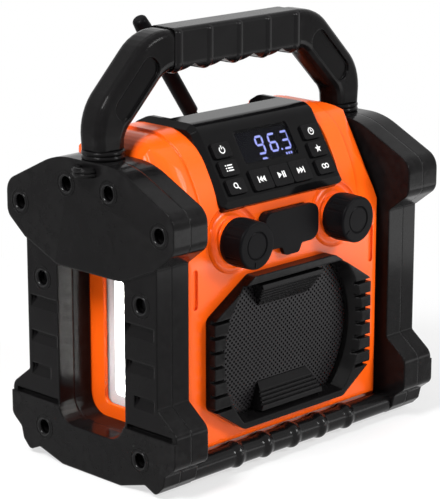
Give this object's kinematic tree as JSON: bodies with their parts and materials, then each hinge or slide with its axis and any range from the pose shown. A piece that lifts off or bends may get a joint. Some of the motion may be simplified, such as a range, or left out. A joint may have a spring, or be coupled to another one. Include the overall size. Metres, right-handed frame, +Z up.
{
  "type": "jobsite radio",
  "caption": "Portable radio in a guarded housing with a carrying handle, lit display, keys, two knobs, loudspeaker grille, side work lamp and swinging aerial.",
  "frame": {"origin": "on the ground under the middle of the radio", "axes": "+X to the radio's own left-to-right as seen from the front, -Y towards the control panel, +Z up"},
  "size_m": [0.2686, 0.156, 0.2852],
  "materials": {
    "orange": "moulded, semi-gloss orange",
    "black": "moulded, fine satin texture",
    "bar_black": "moulded, satin",
    "rubber": "soft matt rubber",
    "panel_gloss": "polished black",
    "window": "tinted clear acrylic",
    "display": "dark blue liquid crystal display, lit",
    "key": "satin key caps with white marks",
    "mat": "silicone",
    "circuit": "green solder mask",
    "steel": "zinc plated",
    "socket_black": "moulded",
    "mesh": "perforated sheet, powder coated",
    "basket": "pressed steel",
    "cone": "paper cone",
    "magnet": "ferrite and plated yoke",
    "lens": "clear acrylic",
    "reflector": "white reflector",
    "leds": "white light-emitting diodes on a white board",
    "battery": "shrink-wrapped cells"
  },
  "bodies": {
    "radio": {"front_shell": "orange", "rear_shell": "orange", "shell_screws": "steel", "main_board": "circuit", "front_bar": "bar_black", "rear_bar": "bar_black", "rubber_feet": "rubber", "left_guard_outer": "black", "left_guard_inner": "black", "right_guard_outer": "black", "right_guard_inner": "black", "guard_screws": "steel", "strap_eyelets": "black", "left_handle_arm": "black", "right_handle_arm": "black", "handle_tube": "steel", "handle_grip": "rubber", "handle_collars": "black", "control_panel": "panel_gloss", "display_window": "window", "display_module": "display", "control_board": "circuit", "keypad_mat": "mat", "encoders": "steel", "port_tray": "black", "usb_socket": "steel", "aux_socket": "socket_black", "dc_socket": "socket_black", "grille_frame": "black", "grille_mesh": "mesh", "upper_tread_bar": "rubber", "lower_tread_bar": "rubber", "speaker_basket": "basket", "speaker_cone": "cone", "speaker_magnet": "magnet", "lamp_surround": "orange", "lamp_reflector": "reflector", "lamp_lens": "lens", "lamp_board": "leds", "antenna_bracket": "black", "antenna_clip": "black", "battery_pack": "battery", "hinge_pins": "steel"},
    "volume": {"volume_knob": "rubber", "volume_shaft": "steel"},
    "tuning": {"tuning_knob": "rubber", "tuning_shaft": "steel"},
    "socket_cover": {"port_cover": "rubber"},
    "aerial": {"antenna_knuckle": "black", "antenna_whip": "rubber"},
    "battery_lid": {"battery_door": "black"},
    "power_key": {"key_power": "key"},
    "mode_key": {"key_mode": "key"},
    "scan_key": {"key_scan": "key"},
    "clock_key": {"key_clock": "key"},
    "preset_key": {"key_preset": "key"},
    "pair_key": {"key_pair": "key"},
    "previous_key": {"key_previous": "key"},
    "play_key": {"key_play": "key"},
    "next_key": {"key_next": "key"}
  },
  "joints": [
    {"name": "volume_turn", "type": "hinge", "parent": "radio", "child": "volume", "pos_m": [-0.0483, -0.06, 0.153], "axis": [0, -1, 0], "continuous": true},
    {"name": "tuning_turn", "type": "hinge", "parent": "radio", "child": "tuning", "pos_m": [0.0483, -0.06, 0.153], "axis": [0, -1, 0], "continuous": true},
    {"name": "socket_cover_hinge", "type": "hinge", "parent": "radio", "child": "socket_cover", "pos_m": [0, -0.0548, 0.16435], "axis": [-1, 0, 0], "range_deg": [0, 95]},
    {"name": "aerial_swing", "type": "hinge", "parent": "radio", "child": "aerial", "pos_m": [0.028, 0.054, 0.1995], "axis": [0, 1, 0], "range_deg": [-55, 70]},
    {"name": "battery_lid_hinge", "type": "hinge", "parent": "radio", "child": "battery_lid", "pos_m": [0, 0.0438, 0.0422], "axis": [-1, 0, 0], "range_deg": [0, 90]},
    {"name": "key_power_press", "type": "slide", "parent": "radio", "child": "power_key", "axis": [0, 0.848, -0.5299], "range_m": [0, 0.0012], "stiffness_N_per_m": 400, "springref_m": -0.0002},
    {"name": "key_mode_press", "type": "slide", "parent": "radio", "child": "mode_key", "axis": [0, 0.848, -0.5299], "range_m": [0, 0.0012], "stiffness_N_per_m": 400, "springref_m": -0.0002},
    {"name": "key_scan_press", "type": "slide", "parent": "radio", "child": "scan_key", "axis": [0, 0.848, -0.5299], "range_m": [0, 0.0012], "stiffness_N_per_m": 400, "springref_m": -0.0002},
    {"name": "key_clock_press", "type": "slide", "parent": "radio", "child": "clock_key", "axis": [0, 0.848, -0.5299], "range_m": [0, 0.0012], "stiffness_N_per_m": 400, "springref_m": -0.0002},
    {"name": "key_preset_press", "type": "slide", "parent": "radio", "child": "preset_key", "axis": [0, 0.848, -0.5299], "range_m": [0, 0.0012], "stiffness_N_per_m": 400, "springref_m": -0.0002},
    {"name": "key_pair_press", "type": "slide", "parent": "radio", "child": "pair_key", "axis": [0, 0.848, -0.5299], "range_m": [0, 0.0012], "stiffness_N_per_m": 400, "springref_m": -0.0002},
    {"name": "key_previous_press", "type": "slide", "parent": "radio", "child": "previous_key", "axis": [0, 0.848, -0.5299], "range_m": [0, 0.0012], "stiffness_N_per_m": 400, "springref_m": -0.0002},
    {"name": "key_play_press", "type": "slide", "parent": "radio", "child": "play_key", "axis": [0, 0.848, -0.5299], "range_m": [0, 0.0012], "stiffness_N_per_m": 400, "springref_m": -0.0002},
    {"name": "key_next_press", "type": "slide", "parent": "radio", "child": "next_key", "axis": [0, 0.848, -0.5299], "range_m": [0, 0.0012], "stiffness_N_per_m": 400, "springref_m": -0.0002}
  ]
}
